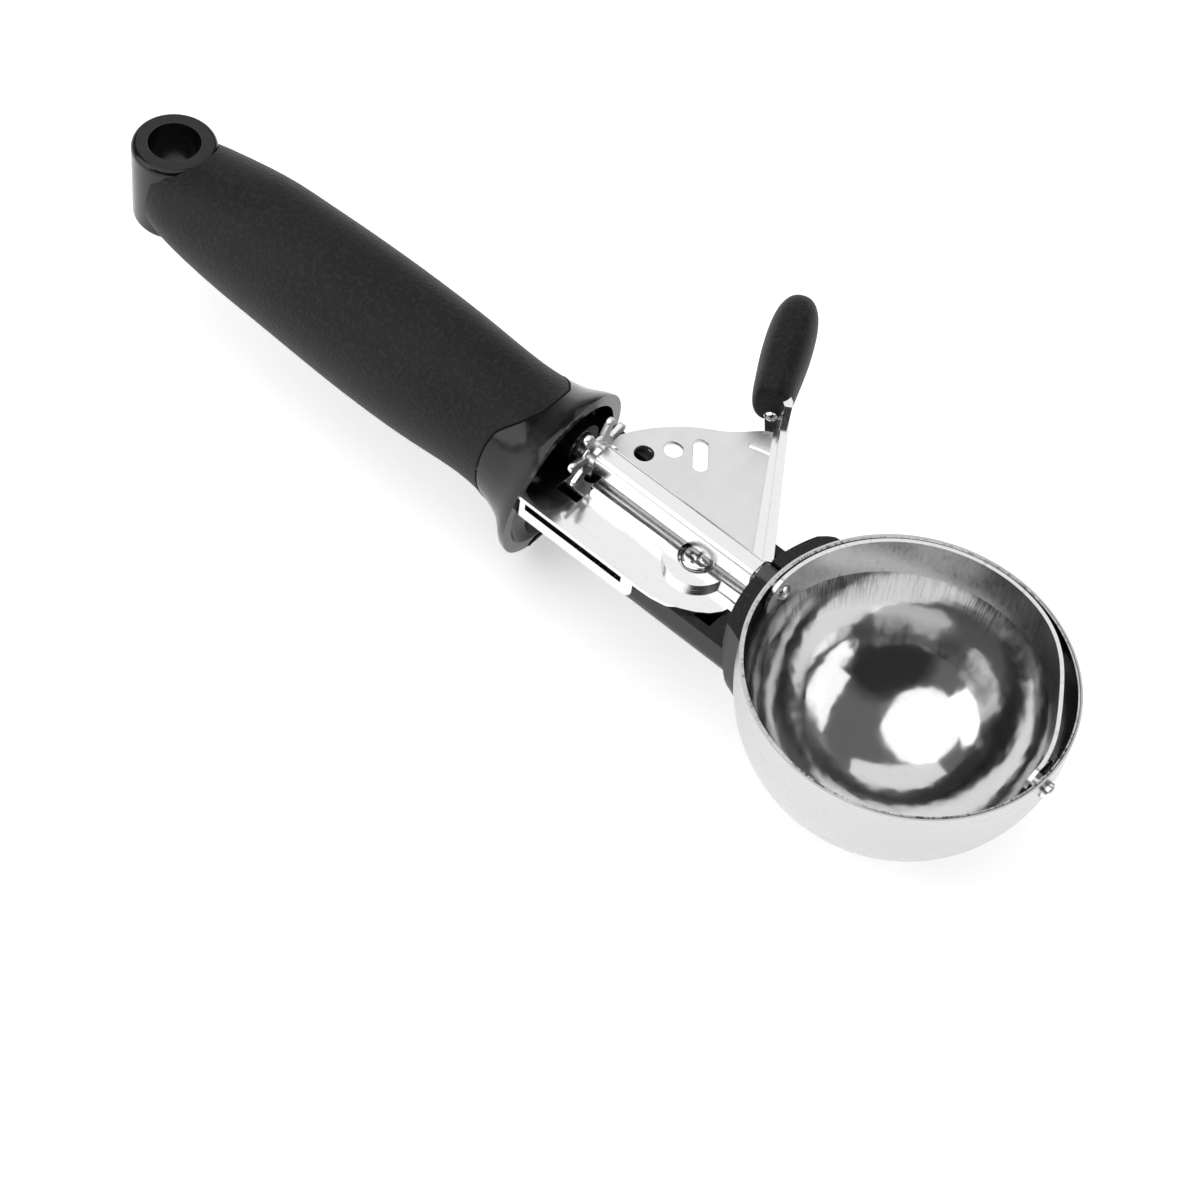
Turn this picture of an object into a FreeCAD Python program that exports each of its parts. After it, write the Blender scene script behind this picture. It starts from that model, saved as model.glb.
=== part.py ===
import FreeCAD, Part
import math
import os

V = FreeCAD.Vector
os.makedirs("parts", exist_ok=True)

# The sizes below are laid out from the centre of the bowl's rim, in the rim plane
# The handle's side is laid out from the bowl's rear wall, at bowl_back
# +X runs from the handle to the tip of the bowl, +Y is the thumb lever's side, +Z leaves the bowl's mouth
# At the end every piece is moved so that the origin is on the hanging ring's axis, in the ring's top face
# All sizes are in millimetres and degrees

# Bowl
bowl_radius = 29.0
bowl_wall = 0.8
bowl_back = -29.0
axis_z = -3.8
sphere_z = -4.6

# Scraper shaft, star wheel and the blade that they turn
shaft_width = 4.4
shaft_height = 3.8
shaft_sheet = 0.8
journal_radius = 1.5
running_fit = 0.05
star_teeth = 7
star_tip_radius = 7.5
star_root_radius = 4.0
star_thickness = 1.0
tooth_width = 2.1
blade_gap = 0.55
blade_width = 8.6
blade_thickness = 0.7

# Sector plate that drives the star wheel
pivot_x = -43.65
pivot_y = -2.25
rack_radius = 26.0
rack_pitch = 12.1
rack_hole_radius = 1.8
plate_top = -10.1
plate_thickness = 0.9
plate_radius = 31.3
plate_hub_radius = 7.0

# Stamped frame above the plate
frame_top = -9.0
frame_sheet = 0.8
ridge_step = 1.4
frame_side = -13.5
ridge_left = -3.7
ridge_right = 4.1
seat_radius = 3.5
boss_radius = 6.1
skirt_depth = 5.0

# Neck moulding with the cradle that holds the bowl
neck_half = 12.6
neck_wall = 1.9
neck_bottom = -19.6
neck_floor = 2.0
neck_rear = -78.6
cradle_wall = 2.8

# Handle
guard_x = -75.6
guard_tilt = 8.5
grip_wall = 2.0
butt_x = -174.3
butt_radius = 8.15
hang_radius = 5.0
ring_top = -4.9
ring_bottom = -23.4

# Values that follow from the ones above
bowl_inner = bowl_radius - bowl_wall
bowl_x = bowl_back + bowl_radius
bowl_front = bowl_x + bowl_radius
blade_radius = bowl_inner - blade_gap
cradle_radius = bowl_radius + cradle_wall
cradle_back = bowl_back - cradle_wall
plate_bottom = plate_top - plate_thickness
frame_bottom = frame_top - frame_sheet
ridge_top = frame_top + ridge_step
neck_low = plate_bottom - 0.35
star_x = pivot_x - math.sqrt(rack_radius ** 2 - pivot_y ** 2)
rack_start = math.degrees(math.asin(-pivot_y / rack_radius))
arm_angle = 31.9
arm_u = V(-math.sin(math.radians(arm_angle)), math.cos(math.radians(arm_angle)), 0)
arm_v = V(math.cos(math.radians(arm_angle)), math.sin(math.radians(arm_angle)), 0)
Z = V(0, 0, 1)
X = V(1, 0, 0)


def cyl(r, p0, p1):
    d = p1.sub(p0)
    return Part.makeCylinder(r, d.Length, p0, d)


def disc(r, x, y, z0, z1):
    return cyl(r, V(x, y, min(z0, z1)), V(x, y, max(z0, z1)))


def tube(r_out, r_in, x, y, z0, z1):
    return disc(r_out, x, y, z0, z1).cut(disc(r_in, x, y, z0 - 1, z1 + 1))


def box(x0, x1, y0, y1, z0, z1):
    return Part.makeBox(x1 - x0, y1 - y0, z1 - z0, V(x0, y0, z0))


def slab(points, z0, z1):
    wire = Part.makePolygon([V(x, y, z0) for x, y in points] + [V(points[0][0], points[0][1], z0)])
    return Part.Face(wire).extrude(V(0, 0, z1 - z0))


def oval(x, zc, ay, az, power=2.0, tilt=0.0, yc=0.0, n=28):
    points = []
    for i in range(n):
        a = 2 * math.pi * i / n
        c, s = math.cos(a), math.sin(a)
        y = math.copysign(abs(c) ** (2 / power), c) * ay
        z = math.copysign(abs(s) ** (2 / power), s) * az
        points.append(V(x + z * math.tan(math.radians(tilt)), yc + y, zc + z))
    curve = Part.BSplineCurve()
    curve.interpolate(points, PeriodicFlag=True)
    return Part.Wire(curve.toShape())


def loft(sections):
    return Part.makeLoft(sections, True, False)


def one(shape):
    shape = shape.removeSplitter()
    if len(shape.Solids) == 1:
        return shape.Solids[0]
    return shape


def on_plate(r, angle):
    a = math.radians(angle)
    return (pivot_x - r * math.cos(a), pivot_y + r * math.sin(a))


def on_arm(s, d):
    p = arm_u * s + arm_v * d
    return (pivot_x + p.x, pivot_y + p.y)


# Bowl: a deep drawn hemisphere with a short straight band up to the rim, rim edge rounded
def bowl():
    lower = box(bowl_x - 40, bowl_x + 40, -40, 40, -40, sphere_z)
    outer = Part.makeSphere(bowl_radius, V(bowl_x, 0, sphere_z)).common(lower)
    outer = outer.fuse(disc(bowl_radius, bowl_x, 0, sphere_z, 0))
    inner = Part.makeSphere(bowl_inner, V(bowl_x, 0, sphere_z)).common(lower)
    inner = inner.fuse(disc(bowl_inner, bowl_x, 0, sphere_z, 1))
    shell = outer.removeSplitter().cut(inner.removeSplitter())
    tip_hole = cyl(journal_radius + running_fit, V(bowl_front - 4, 0, axis_z), V(bowl_front + 2, 0, axis_z))
    shell = shell.cut(tip_hole)
    shell = shell.cut(cyl(2.6, V(bowl_back - 2, 0, axis_z), V(bowl_back + 4, 0, axis_z)))
    return one(shell)


# Tip pin: riveted to the blade's far end, it turns in the bowl wall
def tip_pin():
    blade_in, blade_out = blade_path(blade_thickness)[-1].x, blade_path(0)[-1].x
    pin = cyl(journal_radius, V(blade_in - 0.05, 0, axis_z), V(bowl_front + 0.3, 0, axis_z))
    shoulder = cyl(1.9, V(blade_out, 0, axis_z), V(bowl_x + bowl_inner - 0.25, 0, axis_z))
    head = cyl(1.75, V(bowl_front + 0.15, 0, axis_z), V(bowl_front + 1.0, 0, axis_z))
    dome = Part.makeSphere(2.2, V(bowl_front - 0.35, 0, axis_z)).common(
        cyl(1.75, V(bowl_front + 0.9, 0, axis_z), V(bowl_front + 4, 0, axis_z)))
    peen = Part.makeSphere(1.9, V(blade_in + 0.9, 0, axis_z)).common(
        box(blade_in - 3, blade_in, -3, 3, axis_z - 3, axis_z + 3))
    return one(pin.fuse([shoulder, head, dome, peen]))


# Path of the blade's outer face in its own plane: a half circle, drawn in towards the tip
def blade_path(offset):
    points = []
    steps = 24
    for i in range(steps + 1):
        a = math.pi * (1 - i / steps)
        pull = math.exp(-((math.degrees(a) - 32) / 26.0) ** 2)
        r = blade_radius - offset - pull * 2.1
        points.append(V(bowl_x + r * math.cos(a), r * math.sin(a), 0))
    return points


# Blade: a sheet strip bent to a half circle, its two ends on the shaft's axis
def scraper_blade():
    outer = Part.BSplineCurve()
    outer.interpolate(blade_path(0))
    inner = Part.BSplineCurve()
    inner.interpolate(list(reversed(blade_path(blade_thickness))))
    a, b = blade_path(0), blade_path(blade_thickness)
    edges = [outer.toShape(), Part.makeLine(a[-1], b[-1]), inner.toShape(), Part.makeLine(b[0], a[0])]
    band = Part.Face(Part.Wire(edges)).extrude(V(0, 0, blade_width))
    band.translate(V(0, 0, axis_z - blade_width / 2))
    tab_left = cyl(blade_width / 2, V(a[0].x, 0, axis_z), V(b[0].x, 0, axis_z))
    tab_right = cyl(blade_width / 2, V(b[-1].x, 0, axis_z), V(a[-1].x, 0, axis_z))
    body = band.fuse([tab_left, tab_right])
    for x in (a[0].x, a[-1].x):
        body = body.cut(cyl(journal_radius, V(x - 2.5, 0, axis_z), V(x + 2.5, 0, axis_z)))
    return one(body)


# Shaft: a folded channel with round journals at both ends
def scraper_shaft():
    x0, x1 = star_x + 1.6, cradle_back - 0.9
    r = 1.1
    profile = []
    hw, hh = shaft_width / 2, shaft_height / 2
    for cy, cz, a0 in ((hw - r, hh - r, 0), (-hw + r, hh - r, 90)):
        for k in range(5):
            a = math.radians(a0 + 22.5 * k)
            profile.append((cy + r * math.cos(a), cz + r * math.sin(a)))
    profile += [(-hw, -hh), (-hw + shaft_sheet, -hh)]
    ri = r - 0.6
    for cy, cz, a0 in ((-hw + r, hh - r, 180), (hw - r, hh - r, 90)):
        for k in range(5):
            a = math.radians(a0 - 22.5 * k)
            profile.append((cy + ri * math.cos(a), cz + ri * math.sin(a) + r - ri - shaft_sheet))
    profile += [(hw - shaft_sheet, -hh), (hw, -hh)]
    wire = Part.makePolygon([V(x0, y, axis_z + z) for y, z in profile + profile[:1]])
    channel = Part.Face(wire).extrude(V(x1 - x0, 0, 0))
    front_end = blade_path(blade_thickness)[0].x + 0.1
    core = cyl(journal_radius, V(star_x - 8.0, 0, axis_z), V(front_end, 0, axis_z))
    return one(channel.fuse(core))


# Rivet head inside the bowl that holds the blade's near end on the shaft
def shaft_rivet():
    x = blade_path(blade_thickness)[0].x
    head = Part.makeSphere(1.9, V(x - 0.9, 0, axis_z)).common(box(x, x + 3, -3, 3, axis_z - 3, axis_z + 3))
    return one(head.cut(cyl(journal_radius, V(x - 1, 0, axis_z), V(x + 0.1, 0, axis_z))))


# Star wheel: a stamped wheel with seven round-ended teeth
def star_wheel():
    x0, x1 = star_x - star_thickness / 2, star_x + star_thickness / 2
    body = cyl(star_root_radius, V(x0, 0, axis_z), V(x1, 0, axis_z))
    hub = cyl(2.6, V(x1, 0, axis_z), V(x1 + 1.1, 0, axis_z))
    body = body.fuse(hub)
    for i in range(star_teeth):
        r0 = star_root_radius - 1
        r1 = star_tip_radius - tooth_width / 2
        tooth = box(x0, x1, -tooth_width / 2, tooth_width / 2, axis_z - r1, axis_z - r0)
        tooth = tooth.fuse(cyl(tooth_width / 2, V(x0, 0, axis_z - r1), V(x1, 0, axis_z - r1)))
        tooth.rotate(V(0, 0, axis_z), X, 360.0 * i / star_teeth)
        body = body.fuse(tooth)
    body = body.cut(cyl(journal_radius, V(x0 - 3, 0, axis_z), V(x1 + 3, 0, axis_z)))
    return one(body)


# Bright collar staked behind the star wheel
def shaft_collar():
    x1 = star_x - star_thickness / 2
    ring = cyl(2.3, V(x1 - 1.9, 0, axis_z), V(x1, 0, axis_z))
    ring = ring.makeFillet(0.5, [e for e in ring.Edges if e.BoundBox.XLength < 0.01][:1])
    return one(ring.cut(cyl(journal_radius, V(x1 - 5, 0, axis_z), V(x1 + 3, 0, axis_z))))


# Plain bush in the handle for the shaft's rear journal
def rear_shaft_bush():
    x1 = star_x - star_thickness / 2 - 2.3
    ring = cyl(2.4, V(x1 - 5.0, 0, axis_z), V(x1, 0, axis_z))
    return one(ring.cut(cyl(journal_radius + running_fit, V(x1 - 9, 0, axis_z), V(x1 + 3, 0, axis_z))))


# Bush in the cradle and bowl wall for the shaft's front journal
def front_shaft_bush():
    ring = cyl(2.6, V(cradle_back - 0.3, 0, axis_z), V(bowl_back + bowl_wall - 0.05, 0, axis_z))
    return one(ring.cut(cyl(journal_radius + running_fit, V(-40, 0, axis_z), V(-20, 0, axis_z))))


# Sector plate: flat stamping with rack holes, a radial slot and a curved slot
def sector_plate():
    pts = []
    a0, a1 = -3.6, 58.0
    steps = 16
    for i in range(steps + 1):
        pts.append(on_plate(plate_radius, a0 + (a1 - a0) * i / steps))
    pts.append(on_plate(plate_radius + 0.25, 61.5))
    pts.append(on_plate(plate_radius + 0.9, 65.0))
    pts.append(on_plate(plate_radius + 2.0, 68.8))
    pts.append(on_plate(plate_radius + 3.2, 72.4))
    pts.append(on_plate(plate_radius + 4.2, 76.0))
    pts.append(on_arm(34.6, 10.8))
    pts.append(on_arm(33.8, 11.95))
    pts.append(on_arm(1.4, 13.1))
    pts.append(on_arm(-0.6, 11.6))
    pts.append((pivot_x + 5.4, pivot_y - 3.0))
    pts.append((pivot_x, pivot_y - 4.0))
    plate = slab(pts, plate_bottom, plate_top)
    plate = plate.fuse(disc(plate_hub_radius, pivot_x, pivot_y, plate_bottom, plate_top))
    for k in range(4):
        x, y = on_plate(rack_radius, rack_start + rack_pitch * k)
        plate = plate.cut(disc(rack_hole_radius, x, y, plate_bottom - 1, plate_top + 1))
    slot_angle = 52.1
    a = math.radians(slot_angle)
    across = V(math.sin(a), math.cos(a), 0) * 1.4
    p0, p1 = on_plate(22.6, slot_angle), on_plate(27.1, slot_angle)
    rim = [(p0[0] + across.x, p0[1] + across.y), (p1[0] + across.x, p1[1] + across.y),
           (p1[0] - across.x, p1[1] - across.y), (p0[0] - across.x, p0[1] - across.y)]
    slot = slab(rim, plate_bottom - 1, plate_top + 1)
    slot = slot.fuse([disc(1.4, p0[0], p0[1], plate_bottom - 1, plate_top + 1),
                      disc(1.4, p1[0], p1[1], plate_bottom - 1, plate_top + 1)])
    plate = plate.cut(slot)
    ring = tube(30.5, 29.3, pivot_x, pivot_y, plate_bottom - 1, plate_top + 1)
    s0, s1 = on_plate(60, 69.0), on_plate(60, 77.0)
    window = slab([(pivot_x, pivot_y), s0, s1], plate_bottom - 1, plate_top + 1)
    plate = plate.cut(ring.common(window))
    plate = plate.cut(disc(2.2 + running_fit, pivot_x, pivot_y, plate_bottom - 1, plate_top + 1))
    plate = plate.cut(disc(cradle_radius + 0.8, bowl_x, 0, plate_bottom - 1, plate_top + 1))
    hook_x = pivot_x - 3.3 - 0.45
    hook = box(hook_x - 0.8, hook_x, pivot_y + 4.6, pivot_y + 7.0, plate_bottom - 1.6, plate_top)
    return one(plate.fuse(hook))


# Lever arm: a folded strip welded along the plate's edge, with a tang that enters the thumb pad
def lever_arm():
    foot = slab([on_arm(2.0, 9.45), on_arm(33.0, 9.45), on_arm(33.0, 11.95), on_arm(2.0, 13.1)],
                plate_top, plate_top + 0.8)
    rib = slab([on_arm(2.0, 11.3), on_arm(35.5, 10.5), on_arm(35.5, 11.9), on_arm(2.0, 13.1)],
               plate_top, plate_top + 2.6)
    tang = slab([on_arm(34.6, 10.5), on_arm(38.6, 8.9), on_arm(52.0, 9.2), on_arm(52.0, 10.4),
                 on_arm(39.4, 10.2), on_arm(36.0, 11.9), on_arm(34.6, 11.9)], plate_top - 1.4, plate_top + 6.0)
    lug = slab([on_arm(32.5, 7.9), on_arm(40.0, 6.9), on_arm(40.0, 9.6), on_arm(32.5, 10.9)],
               plate_top, plate_top + 0.8)
    arm = foot.fuse([rib, tang, lug])
    arm = arm.cut(disc(cradle_radius + 0.8, bowl_x, 0, plate_bottom - 1, plate_top + 9))
    return one(arm)


# Rivet that closes the arm's lug under the thumb pad
def lever_rivet():
    x, y = on_arm(36.6, 8.6)
    shank = disc(0.8, x, y, plate_top - 0.5, plate_top + 1.4)
    head = Part.makeSphere(1.5, V(x, y, plate_top + 0.5)).common(disc(2, x, y, plate_top + 0.8, plate_top + 3))
    foot = disc(1.3, x, y, plate_top - 0.8, plate_top)
    return one(shank.fuse([head, foot]))


# Thumb pad: a moulded oval cap pushed over the arm's tang
def thumb_pad():
    sections = []
    start, end = on_arm(36.2, 8.1), on_arm(62.4, 10.7)
    length = math.hypot(end[0] - start[0], end[1] - start[1])
    axis = V(end[0] - start[0], end[1] - start[1], 0)
    axis.normalize()
    side = V(axis.y, -axis.x, 0)
    centre_z = plate_top + 3.4
    table = ((0.0, 0.60), (0.015, 0.70), (0.06, 0.80), (0.2, 0.90), (0.4, 0.98), (0.6, 1.0),
             (0.76, 0.94), (0.88, 0.78), (0.96, 0.52), (0.995, 0.2))
    for t, k in table:
        points = []
        n = 24
        for i in range(n):
            a = 2 * math.pi * i / n
            c, s = math.cos(a), math.sin(a)
            h = math.copysign(abs(c) ** 0.85, c) * 4.6 * k
            w = math.copysign(abs(s) ** 0.85, s) * 6.2 * k
            p = V(start[0], start[1], centre_z) + axis * (length * t) + side * h + Z * w
            points.append(p)
        curve = Part.BSplineCurve()
        curve.interpolate(points, PeriodicFlag=True)
        sections.append(Part.Wire(curve.toShape()))
    return one(loft(sections))


# Frame: chrome stamping with a raised ridge, a seat for the pivot screw and a slotted side skirt
def frame_plate():
    t = frame_sheet
    outline = [(-84.0, -9.0), (-77.5, -9.0), (-75.2, frame_side), (-47.6, frame_side), (-44.6, -13.35),
               (-42.0, -12.8), (-39.4, -11.8), (-37.0, -10.5), (-35.0, -8.9), (-33.7, -7.0), (-33.2, -5.0),
               (-33.0, -3.0), (-33.0, ridge_right - 0.6), (-66.9, ridge_right), (-66.9, -7.4), (-71.7, -7.4),
               (-71.7, 3.0), (-84.0, 3.0)]
    base = slab(outline, frame_bottom, frame_top)
    boss = disc(boss_radius, pivot_x, pivot_y, frame_bottom, ridge_top)
    ridge = slab([(-66.9, ridge_left), (-33.0, ridge_left + 0.6), (-33.0, ridge_right - 0.6),
                  (-66.9, ridge_right)], frame_bottom, ridge_top)
    raised = ridge.fuse(boss)
    hollow = slab([(-67.5, ridge_left + t), (-34.0, ridge_left + 0.6 + t), (-34.0, ridge_right - 0.6 - t),
                   (-67.5, ridge_right - t)], frame_bottom - 1, ridge_top - t)
    hollow = hollow.cut(disc(seat_radius + t, pivot_x, pivot_y, frame_bottom - 2, ridge_top))
    hollow = hollow.fuse(tube(boss_radius - t, seat_radius + t, pivot_x, pivot_y,
                              frame_bottom - 1, ridge_top - t))
    body = base.fuse(raised).cut(hollow)
    body = body.cut(disc(seat_radius, pivot_x, pivot_y, frame_top, ridge_top + 1))
    body = body.cut(disc(1.6, pivot_x, pivot_y, frame_bottom - 1, ridge_top + 1))
    skirt = box(-74.6, -48.6, frame_side, frame_side + t, frame_top - skirt_depth, frame_top)
    skirt = skirt.makeFillet(2.4, [e for e in skirt.Edges
                                   if e.BoundBox.XLength < 0.01 and e.BoundBox.ZLength < 0.01
                                   and e.BoundBox.XMin > -50 and e.BoundBox.ZMax < frame_bottom])
    slot = box(-73.4, -51.2, frame_side - 1, frame_side + t + 1, plate_bottom - 0.45, plate_top + 0.25)
    # The front tongue turns into a curved foot that is spot welded to the bowl, under the shaft's bush
    tongue = box(-33.5, -28.0, -6.0, 3.4, frame_bottom, frame_top)
    foot = spherical_band(bowl_radius + t, bowl_radius, -14.0, axis_z - 3.0)
    foot = foot.common(box(-40, -20, -6.0, 3.4, -20, 0))
    body = body.fuse([skirt, tongue, foot]).cut(slot)
    body = body.cut(Part.makeSphere(bowl_radius, V(bowl_x, 0, sphere_z)))
    return one(body)


def spherical_band(r_out, r_in, z0, z1):
    outer = Part.makeSphere(r_out, V(bowl_x, 0, sphere_z)).common(box(-50, 50, -50, 50, z0, min(z1, sphere_z)))
    if z1 > sphere_z:
        outer = outer.fuse(disc(r_out, bowl_x, 0, sphere_z, z1))
    inner = Part.makeSphere(r_in, V(bowl_x, 0, sphere_z)).fuse(disc(r_in, bowl_x, 0, sphere_z, z1 + 15))
    return outer.cut(inner)


# Cross-section of the neck moulding: flat floor, rounded lower corners, upright walls
def neck_section(x, half, top, bottom, corner):
    turn = []
    for k in range(7):
        a = math.radians(15.0 * k)
        turn.append((half - 0.3 - corner * (1 - math.cos(a)), bottom + corner * 1.2 * (1 - math.sin(a))))
    left = [(-y, z) for y, z in turn]
    pts = [(-half, top)] + left + list(reversed(turn)) + [(half, top), (-half, top)]
    return Part.makePolygon([V(x, y, z) for y, z in pts])


# Tail of the neck that enters the handle, under the tang screws
def neck_tail(x1):
    return box(-92.0, x1, -8.5, 8.5, -17.6, neck_low)


# Neck: a moulded trough under the frame that widens into the cradle round the bowl
def neck_cradle():
    x_step, x_front = -47.8, -26.0
    outline = neck_section(neck_rear, neck_half, frame_bottom, neck_bottom, 5.0)
    body = Part.Face(outline).extrude(V(x_front - neck_rear, 0, 0))
    core = neck_section(neck_rear - 1, neck_half - neck_wall, frame_bottom + 1, neck_bottom + neck_floor, 4.0)
    body = body.cut(Part.Face(core).extrude(V(-33.6 - neck_rear + 1, 0, 0)))
    # The walls are cut low where the sector plate swings out, on the lever's side and at the rear
    body = body.cut(box(neck_rear - 1, x_front, 0, 40, neck_low, 0))
    body = body.cut(box(neck_rear - 1, x_step, -40, 0.1, neck_low, 0))
    wall = spherical_band(cradle_radius, bowl_radius, neck_bottom, -1.2)
    # Plan outline of the moulding: its sides curve out to the bowl and end in rounded tips
    plan = slab([(-79.0, -neck_half), (-36.0, -neck_half), (-33.0, -12.75), (-30.5, -13.2), (-28.1, -13.9),
                 (-26.0, -14.9), (-24.4, -16.2), (-20.0, -12.0), (-20.0, 10.0), (-24.6, 13.4), (-26.0, 14.2),
                 (-27.2, 14.0), (-28.3, 13.2), (-29.4, 12.0), (-30.4, 10.6), (-31.6, 8.8), (-36.0, neck_half),
                 (-79.0, neck_half)], -40, 5)
    rings = []
    for x, half in ((-42.0, neck_half), (-34.0, neck_half + 0.1), (-28.0, neck_half + 1.2), (-20.0, neck_half + 4.4)):
        rings.append(neck_section(x, half, 5.0, neck_bottom, 5.0))
    wall = wall.common(Part.makeLoft(rings, True, True)).common(plan)
    body = body.common(box(-100, -26.5, -40, 40, -40, 5))
    body = body.fuse(wall)
    body = body.cut(Part.makeSphere(bowl_radius, V(bowl_x, 0, sphere_z)))
    body = body.cut(disc(bowl_radius, bowl_x, 0, sphere_z, 5))
    body = body.cut(box(-35.6, 30, -40, 40, -1.2, 10))
    boss = disc(3.6, pivot_x, pivot_y, neck_bottom + 0.5, -15.6)
    body = body.fuse(boss).cut(disc(2.3, pivot_x, pivot_y, -18.9, -10))
    # The rim of the cradle is notched for the shaft
    body = body.cut(cyl(2.6, V(cradle_back - 1, 0, axis_z), V(bowl_back + 2, 0, axis_z)))
    body = body.cut(box(cradle_back - 1, bowl_back + 2, -2.2, 2.2, axis_z, 0))
    return one(body.fuse(neck_tail(neck_rear + 0.5)))


# Pivot screw: pan head with a cross recess
def pivot_screw():
    head = disc(2.85, pivot_x, pivot_y, frame_top, ridge_top)
    head = head.makeFillet(0.7, [e for e in head.Edges if e.BoundBox.ZMin > ridge_top - 0.01 and
                                 e.BoundBox.XLength > 1])
    shank = disc(1.5, pivot_x, pivot_y, -18.6, frame_top + 0.2)
    screw = head.fuse(shank)
    for w, h in ((0.75, 3.2), (3.2, 0.75)):
        screw = screw.cut(box(pivot_x - w / 2, pivot_x + w / 2, pivot_y - h / 2, pivot_y + h / 2,
                              ridge_top - 0.8, ridge_top + 1))
    return one(screw)


# Flanged bush that the plate turns on
def pivot_bush():
    bush = disc(2.2, pivot_x, pivot_y, -15.6, frame_bottom)
    flange = disc(3.7, pivot_x, pivot_y, plate_bottom - 0.5, plate_bottom - 0.05)
    return one(bush.fuse(flange).cut(disc(1.55, pivot_x, pivot_y, -30, 0)))


def pivot_washer():
    return one(tube(5.2, 2.2, pivot_x, pivot_y, plate_top + 0.05, frame_bottom))


def pivot_insert():
    return one(tube(2.3, 1.5, pivot_x, pivot_y, -18.9, -15.6))


# Return spring: a torsion coil round the bush, one leg on the neck's wall and one on the plate
def return_spring():
    wire_r = 0.4
    coil_r = 3.3
    pitch = 1.25
    turns = 2.5
    z0 = -15.15
    steps = int(turns * 4)
    edges = []

    def at(i):
        a = math.pi / 2 * i
        return V(pivot_x + coil_r * math.cos(a), pivot_y + coil_r * math.sin(a), z0 + pitch * i / 4)

    def mid(i):
        a = math.pi / 2 * (i + 0.5)
        return V(pivot_x + coil_r * math.cos(a), pivot_y + coil_r * math.sin(a), z0 + pitch * (i + 0.5) / 4)

    for i in range(steps):
        edges.append(Part.Arc(at(i), mid(i), at(i + 1)).toShape())
    path = Part.Wire(edges)
    line = path.discretize(int(turns * 36) + 1)
    turn = [(i, j) for i in range(len(line)) for j in range(i + 18, len(line))]
    least = min(line[i].distanceToPoint(line[j]) for i, j in turn) - 2 * wire_r
    print("return_spring least gap to itself", round(least, 3))
    tangent = V(0, 1, pitch / (2 * math.pi * coil_r))
    circle = Part.Wire(Part.Circle(at(0), tangent, wire_r).toShape())
    coil = path.makePipeShell([circle], True, True, 2)
    first = at(0)
    last = at(steps)
    leg0 = cyl(wire_r, first.add(V(0, 0.05, 0)), first.add(V(0, -6.7, 0)))
    leg1 = cyl(wire_r, last.add(V(0, -0.05, 0)), last.add(V(0, 7.4, 0)))
    return one(coil.fuse([leg0, leg1]))


# Handle sections from the finger guard to the butt: x, centre height, half width, half height, tilt
handle_sections = (
    (guard_x - 0.4, -16.0, 14.5, 21.8, guard_tilt),
    (-77.6, -15.8, 14.2, 21.0, guard_tilt),
    (-79.6, -14.9, 13.3, 18.0, 5.0),
    (-82.5, -13.9, 12.6, 15.4, 2.0),
    (-86.0, -13.4, 12.15, 14.2, 0.0),
    (-92.0, -13.1, 11.95, 13.7, 0.0),
    (-100.0, -13.2, 12.3, 14.2, 0.0),
    (-110.0, -13.4, 12.75, 14.7, 0.0),
    (-120.0, -13.45, 12.85, 14.8, 0.0),
    (-130.0, -13.4, 12.7, 14.6, 0.0),
    (-140.0, -13.4, 12.4, 14.2, 0.0),
    (-150.0, -13.5, 12.15, 13.6, 0.0),
    (-160.0, -13.95, 11.6, 12.1, 0.0),
    (-167.0, -14.25, 10.9, 10.6, 0.0),
    (-172.5, -14.4, 9.6, 9.6, 0.0),
)


def handle_outer():
    return loft([oval(x, zc, ay, az, 2.0, tilt) for x, zc, ay, az, tilt in handle_sections])


def handle_inner():
    sections = [oval(-78.9, -14.2, 10.7, 12.7)]
    for x, zc, ay, az, tilt in handle_sections[4:-1]:
        sections.append(oval(x, zc, ay - grip_wall, az - grip_wall))
    sections.append(oval(-173.5, -14.4, 7.2, 7.2))
    return loft(sections)


# The seam between the soft grip and the hard collar runs forward in a lobe above and below
def seam_region():
    side = ((-79.4, 3.5), (-81.8, 6.5), (-83.4, 7.8), (-85.0, 9.1), (-85.7, 10.8), (-86.2, 13.0))
    pts = [(-200.0, 30.0), (-86.2, 30.0)] + [(x, y) for x, y in reversed(side)] + [(-79.0, 1.2), (-79.0, -1.2)]
    pts += [(x, -y) for x, y in side] + [(-86.2, -30.0), (-200.0, -30.0)]
    return slab(pts, -60, 20)


def butt_body():
    post = disc(butt_radius, butt_x, 0, ring_bottom, ring_top)
    rims = [e for e in post.Edges if e.BoundBox.ZLength < 0.01]
    return post.makeFillet(1.3, rims)


# Core: hard moulding with the finger guard in front and the hanging ring behind
def handle_core(outer, seam):
    cavity = loft([oval(-78.8, -14.8, 11.2, 13.6, 2.0, 3), oval(-77.0, -15.6, 12.2, 17.5, 2.0, guard_tilt),
                   oval(guard_x + 3.0, -16.0, 13.8, 21.0, 2.0, guard_tilt)])
    front = outer.cut(seam).cut(cavity)
    bush_front = star_x - star_thickness / 2 - 2.3
    bearing = cyl(3.9, V(-79.5, 0, axis_z), V(bush_front, 0, axis_z))
    core = front.fuse([handle_inner(), butt_body(), bearing])
    core = core.cut(cyl(2.4, V(bush_front - 5.0, 0, axis_z), V(bush_front + 1, 0, axis_z)))
    core = core.cut(cyl(1.9, V(bush_front - 6.0, 0, axis_z), V(bush_front, 0, axis_z)))
    # The neck and its tail are seated in the guard
    seat = Part.Face(neck_section(neck_rear, neck_half, frame_bottom, neck_bottom, 5.0)).extrude(V(12, 0, 0))
    core = core.cut(seat).cut(neck_tail(neck_rear + 0.5))
    return one(core.cut(disc(hang_radius, butt_x, 0, -40, 10)))


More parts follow.
